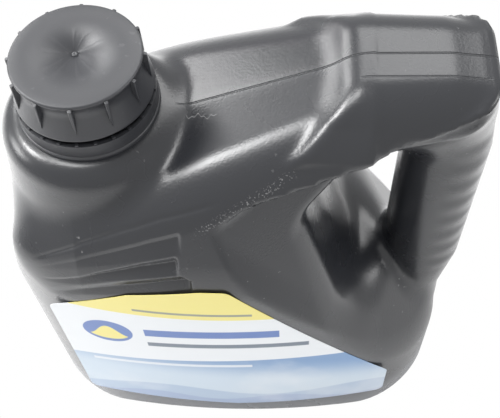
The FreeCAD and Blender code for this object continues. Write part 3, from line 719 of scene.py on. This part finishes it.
def ringOfRibs(rib, count, turn, material):
    # Copies of the rib round the cap's axis
    tree = bpy.data.node_groups.new("ribRing", "GeometryNodeTree")
    tree.interface.new_socket("Geometry", in_out="INPUT", socket_type="NodeSocketGeometry")
    inputs = {}
    for name, kind in (("Rib", "NodeSocketObject"), ("Count", "NodeSocketInt"), ("Turn", "NodeSocketFloat"),
                       ("Plastic", "NodeSocketMaterial")):
        inputs[name] = tree.interface.new_socket(name, in_out="INPUT", socket_type=kind).identifier
    tree.interface.new_socket("Geometry", in_out="OUTPUT", socket_type="NodeSocketGeometry")
    nodes = tree.nodes
    link = tree.links.new
    given = nodes.new("NodeGroupInput")
    result = nodes.new("NodeGroupOutput")
    source = nodes.new("GeometryNodeObjectInfo")
    link(given.outputs["Rib"], source.inputs["Object"])
    line = nodes.new("GeometryNodeMeshLine")
    line.mode = "OFFSET"
    line.inputs["Offset"].default_value = (0, 0, 0)
    link(given.outputs["Count"], line.inputs["Count"])
    spread = nodes.new("GeometryNodeInstanceOnPoints")
    link(line.outputs["Mesh"], spread.inputs["Points"])
    link(source.outputs["Geometry"], spread.inputs["Instance"])
    index = nodes.new("GeometryNodeInputIndex")
    share = nodes.new("ShaderNodeMath")
    share.operation = "DIVIDE"
    link(index.outputs[0], share.inputs[0])
    link(given.outputs["Count"], share.inputs[1])
    angle = nodes.new("ShaderNodeMath")
    angle.operation = "MULTIPLY_ADD"
    link(share.outputs[0], angle.inputs[0])
    angle.inputs[1].default_value = 2 * math.pi
    link(given.outputs["Turn"], angle.inputs[2])
    aim = nodes.new("ShaderNodeCombineXYZ")
    link(angle.outputs[0], aim.inputs["Z"])
    link(aim.outputs[0], spread.inputs["Rotation"])
    real = nodes.new("GeometryNodeRealizeInstances")
    link(spread.outputs[0], real.inputs[0])
    paint = nodes.new("GeometryNodeSetMaterial")
    link(real.outputs[0], paint.inputs["Geometry"])
    link(given.outputs["Plastic"], paint.inputs["Material"])
    link(paint.outputs[0], result.inputs[0])
    holder = newMesh("ribHolder", [(0, 0, 0)], [])
    grown = holder.modifiers.new("ribs", "NODES")
    grown.node_group = tree
    for name, value in (("Rib", rib), ("Count", count), ("Turn", math.radians(turn)), ("Plastic", material)):
        grown[inputs[name]] = value
    bpy.context.view_layer.update()
    solid = bpy.data.meshes.new_from_object(holder.evaluated_get(bpy.context.evaluated_depsgraph_get()))
    holder.modifiers.remove(grown)
    bpy.data.objects.remove(holder)
    bpy.data.objects.remove(rib)
    item = bpy.data.objects.new("capRibs", solid)
    bpy.context.scene.collection.objects.link(item)
    points = np.empty(len(solid.vertices) * 3, dtype=np.float32)
    solid.vertices.foreach_get("co", points)
    points = points.reshape(-1, 3)
    points[:, 0] += jugSize["neckX"] * mm
    solid.vertices.foreach_set("co", points.ravel())
    solid.update()
    return item


def makeCap():
    c = capSize
    top = c["top"]
    inside = c["waist"] - c["wall"]
    profile = [
        (0.02, top), (c["rim"] - 0.9, top), (c["rim"] - 0.35, top - 0.15), (c["rim"], top - 0.6),
        (c["rim"], top - 1.2), (c["rim"] - 0.2, top - 1.7),
        (c["waist"], top - 2.3), (c["waist"], c["waistHeight"]),
        (c["waist"] + 0.3, c["waistHeight"] - 1.2), (c["skirt"] - 0.25, c["foot"] + 1.4),
        (c["skirt"], c["foot"] + 0.7), (c["skirt"] - 0.1, c["foot"] + 0.2), (c["skirt"] - 0.4, c["foot"]),
        (c["skirt"] - c["wall"] + 0.2, c["foot"]),
        (c["skirt"] - c["wall"], c["foot"] + 0.3),
        (inside, c["waistHeight"]), (inside, top - c["plate"] - 0.3),
        (inside - 0.3, top - c["plate"]), (0.02, top - c["plate"]),
    ]
    profile.reverse()
    plastic = moulded("capPlastic", capLook, True)
    shell = turned("capShell", profile, capLook["around"])
    shell.data.materials.append(plastic)
    mark = [(0.02, top - 0.3), (1.3, top - 0.3), (1.25, top + 0.15), (0.9, top + 0.4), (0.02, top + 0.3)]
    gate = turned("capGate", mark, 48)
    gate.data.materials.append(plastic)
    ribs = ringOfRibs(drawnRib(), capLook["ribs"], capLook["ribTurn"], plastic)
    for piece in (shell, gate, ribs):
        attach(piece, "cap")
        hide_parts("screw_cap")
    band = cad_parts["tamper_band"]
    band.data.materials.clear()
    band.data.materials.append(plastic)
    print("cap:", len(ribs.data.polygons), "rib faces")


neckPlastic = moulded("neckPlastic", capLook, False)
makeNeck()
makeCap()

# Labels: printed film in plain fields of colour

labelLook = {
    "yellow": (0.66, 0.58, 0.16),
    "white": (0.62, 0.64, 0.66),
    "deepBlue": (0.06, 0.13, 0.36),
    "sky": (0.13, 0.24, 0.42),
    "paleSky": (0.44, 0.52, 0.60),
    "ink": (0.10, 0.13, 0.17),
    "rough": 0.38,
}


def frontPrint():
    look = labelLook
    tree = Tree("frontPrint")
    where, (x, y, z) = tree.place()
    cloud = tree.noise(where, 18.0, 4.0)
    edge = 128.6 + (x + 9) * (x + 9) * 0.0013
    white = look["white"]

    # Blue field with soft hills and a lighter sky, paler towards the right end and the foot
    sky = tree.mix(tree.ramp(z + x * 0.10, 82.0, 52.0), look["sky"], look["paleSky"])
    hills = z + tree.math("SINE", x * 0.055 + 0.6) * 5.0 - 36.0
    sky = tree.mix(tree.ramp(hills, 1.0, -1.0) * 0.55, sky, look["sky"])
    nearHills = z + tree.math("SINE", x * 0.09 + 2.4) * 3.5 - 26.0
    sky = tree.mix(tree.ramp(nearHills, 0.6, -0.6) * 0.45, sky, look["deepBlue"])
    sky = tree.mix(tree.ramp(cloud, 0.5, 0.75) * 0.5, sky, white)
    bandEdge = 79.5 + x * 0.055 + tree.math("SINE", x * 0.02) * 1.5
    colour = tree.mix(tree.ramp(z - bandEdge, -0.2, 0.2), sky, white)

    # Motif on the white field: a drop in a disc, then two plain bars
    dx = x + 58.0
    dz = z - 107.0
    disc = tree.ramp(tree.math("SQRT", dx * dx + dz * dz), 12.2, 11.8)
    lift = (dz + 1.5) * (dz + 1.5) * 0.55
    pull = tree.math("SQRT", dx * dx * tree.math("MAXIMUM", 1 + dz * 0.16, 0.3) + lift)
    drop = tree.ramp(pull, 5.7, 5.3)
    bars = tree.between(x, -40.0, 24.0, 0.5) * tree.between(z - x * 0.05, 108.0, 115.5, 0.4)
    under = tree.between(x, -40.0, 38.0, 0.5) * tree.between(z - x * 0.05, 96.0, 100.5, 0.4)
    small = tree.between(x, -72.0, 10.0, 0.5) * tree.between(z - x * 0.05, 71.0, 74.0, 0.4)
    colour = tree.mix(disc, colour, look["deepBlue"])
    colour = tree.mix(drop, colour, look["yellow"])
    colour = tree.mix(bars, colour, look["deepBlue"])
    colour = tree.mix(under, colour, look["ink"])
    colour = tree.mix(small * 0.8, colour, white)
    colour = tree.mix(tree.ramp(z - edge, -0.2, 0.2), colour, look["yellow"])
    stripe = tree.between(z - edge, 4.0, 6.2, 0.3) * tree.between(x, -42.0, 12.0, 0.5)
    colour = tree.mix(stripe * 0.8, colour, look["ink"])
    # Painted haze: the whole print is lightened towards the foot, where bright haze washes it out
    colour = tree.mix(tree.ramp(z, 60.0, 16.0) * 0.25, colour, (0.60, 0.63, 0.66))
    tree.put(tree.shader.inputs["Base Color"], colour)
    tree.put(tree.shader.inputs["Roughness"], look["rough"] + (cloud - 0.5) * 0.1)
    return tree.material


def backPrint():
    look = labelLook
    tree = Tree("backPrint")
    where, (x, y, z) = tree.place()
    lines = tree.ramp(tree.math("SINE", z * 1.6), 0.2, 0.5)
    lines = lines * tree.between(x, -62.0, 22.0, 0.6) * tree.between(z, 34.0, 100.0, 1.0)
    colour = tree.mix(lines * 0.6, look["white"], look["ink"])
    colour = tree.mix(tree.ramp(z, 108.0, 108.6), colour, look["deepBlue"])
    colour = tree.mix(tree.between(z, 104.0, 108.0, 0.3), colour, look["yellow"])
    tree.put(tree.shader.inputs["Base Color"], colour)
    tree.shader.inputs["Roughness"].default_value = look["rough"]
    return tree.material


for labelName, paint in (("front_label", frontPrint()), ("back_label", backPrint())):
    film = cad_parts[labelName]
    film.data.materials.clear()
    film.data.materials.append(paint)
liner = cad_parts["cap_liner"]
liner.data.materials.clear()
liner.data.materials.append(plainMaterial("linerFoam", (0.78, 0.78, 0.75), 0.7))
print("labels painted")

# Floor, light and camera

stageLook = {"shown": 1.0, "lit": (0.80, 0.80, 0.80), "world": 1.0, "half": 3.0}


def whiteToCamera(tree, background):
    # White where the camera looks at it, a plain grey to everything else
    path = tree.nodes.new("ShaderNodeLightPath")
    glow = tree.nodes.new("ShaderNodeEmission" if not background else "ShaderNodeBackground")
    glow.inputs["Color"].default_value = (1, 1, 1, 1)
    glow.inputs["Strength"].default_value = stageLook["shown"]
    mixer = tree.nodes.new("ShaderNodeMixShader")
    tree.links.new(path.outputs["Is Camera Ray"], mixer.inputs[0])
    tree.links.new(glow.outputs[0], mixer.inputs[2])
    return mixer


def makeStage():
    half = stageLook["half"]
    corners = [(-half, -half, 0), (half, -half, 0), (half, half, 0), (-half, half, 0)]
    floor = newMesh("floor", corners, [(0, 1, 2, 3)], False)
    paint = plainMaterial("floorWhite", stageLook["lit"], 0.8)
    tree = paint.node_tree
    mixer = whiteToCamera(tree, False)
    shader = tree.nodes["Principled BSDF"]
    tree.links.new(shader.outputs[0], mixer.inputs[1])
    tree.links.new(mixer.outputs[0], tree.nodes["Material Output"].inputs["Surface"])
    floor.data.materials.append(paint)
    world = bpy.data.worlds.new("studio")
    bpy.context.scene.world = world
    world.use_nodes = True
    sky = world.node_tree.nodes["Background"]
    sky.inputs["Color"].default_value = (1, 1, 1, 1)
    sky.inputs["Strength"].default_value = stageLook["world"]
    mixer = whiteToCamera(world.node_tree, True)
    world.node_tree.links.new(sky.outputs[0], mixer.inputs[1])
    world.node_tree.links.new(mixer.outputs[0], world.node_tree.nodes["World Output"].inputs["Surface"])


makeStage()

lampAim = (0, 0, 150)
lampLook = {
    "backHigh": {"place": (100, 600, 900), "wide": 700, "deep": 300, "power": 4.0},
    "backLeft": {"place": (-600, 600, 600), "wide": 300, "deep": 300, "power": 3.0},
    "leftHigh": {"place": (-720, 130, 930), "wide": 240, "deep": 240, "power": 8.0},
    "leftLow": {"place": (-950, 0, 450), "wide": 300, "deep": 300, "power": 3.5},
    "right": {"place": (900, -100, 600), "wide": 400, "deep": 400, "power": 3.0},
    "topLeft": {"place": (-350, 100, 1100), "wide": 300, "deep": 300, "power": 4.0},
}


def makeLamp(name, place, wide, deep, power):
    data = bpy.data.lights.new(name, "AREA")
    data.shape = "RECTANGLE"
    data.size = wide * mm
    data.size_y = deep * mm
    data.energy = power
    lamp = bpy.data.objects.new(name, data)
    lamp.location = Vector(place) * mm
    lamp.rotation_euler = (Vector(lampAim) - Vector(place)).to_track_quat("-Z", "Y").to_euler()
    bpy.context.scene.collection.objects.link(lamp)


for lampName, lamp in lampLook.items():
    makeLamp(lampName, **lamp)

cameraLook = {
    "place": (28.9, -222.8, 489.03),
    "turn": -5.107,
    "down": 58.636,
    "tilt": -4.185,
    "focalPixels": 869.3,
    "frameWidth": 500.0,
    "sensor": 36,
}


def makeCamera():
    c = cameraLook
    turn = math.radians(c["turn"])
    down = math.radians(c["down"])
    tilt = math.radians(c["tilt"])
    ahead = Vector((math.sin(turn) * math.cos(down), math.cos(turn) * math.cos(down), -math.sin(down)))
    right = Vector((math.cos(turn), -math.sin(turn), 0))
    up = right.cross(ahead)
    rightTilted = right * math.cos(tilt) + up * math.sin(tilt)
    upTilted = up * math.cos(tilt) - right * math.sin(tilt)
    data = bpy.data.cameras.new("camera")
    data.sensor_width = c["sensor"]
    data.lens = c["focalPixels"] / c["frameWidth"] * c["sensor"]
    data.clip_end = 20
    camera = bpy.data.objects.new("camera", data)
    bpy.context.scene.collection.objects.link(camera)
    basis = Matrix((rightTilted, upTilted, -ahead)).transposed().to_4x4()
    basis.translation = Vector(c["place"]) * mm
    camera.matrix_world = basis
    bpy.context.scene.camera = camera


makeCamera()
bpy.context.scene.view_settings.view_transform = "Standard"

print("done")
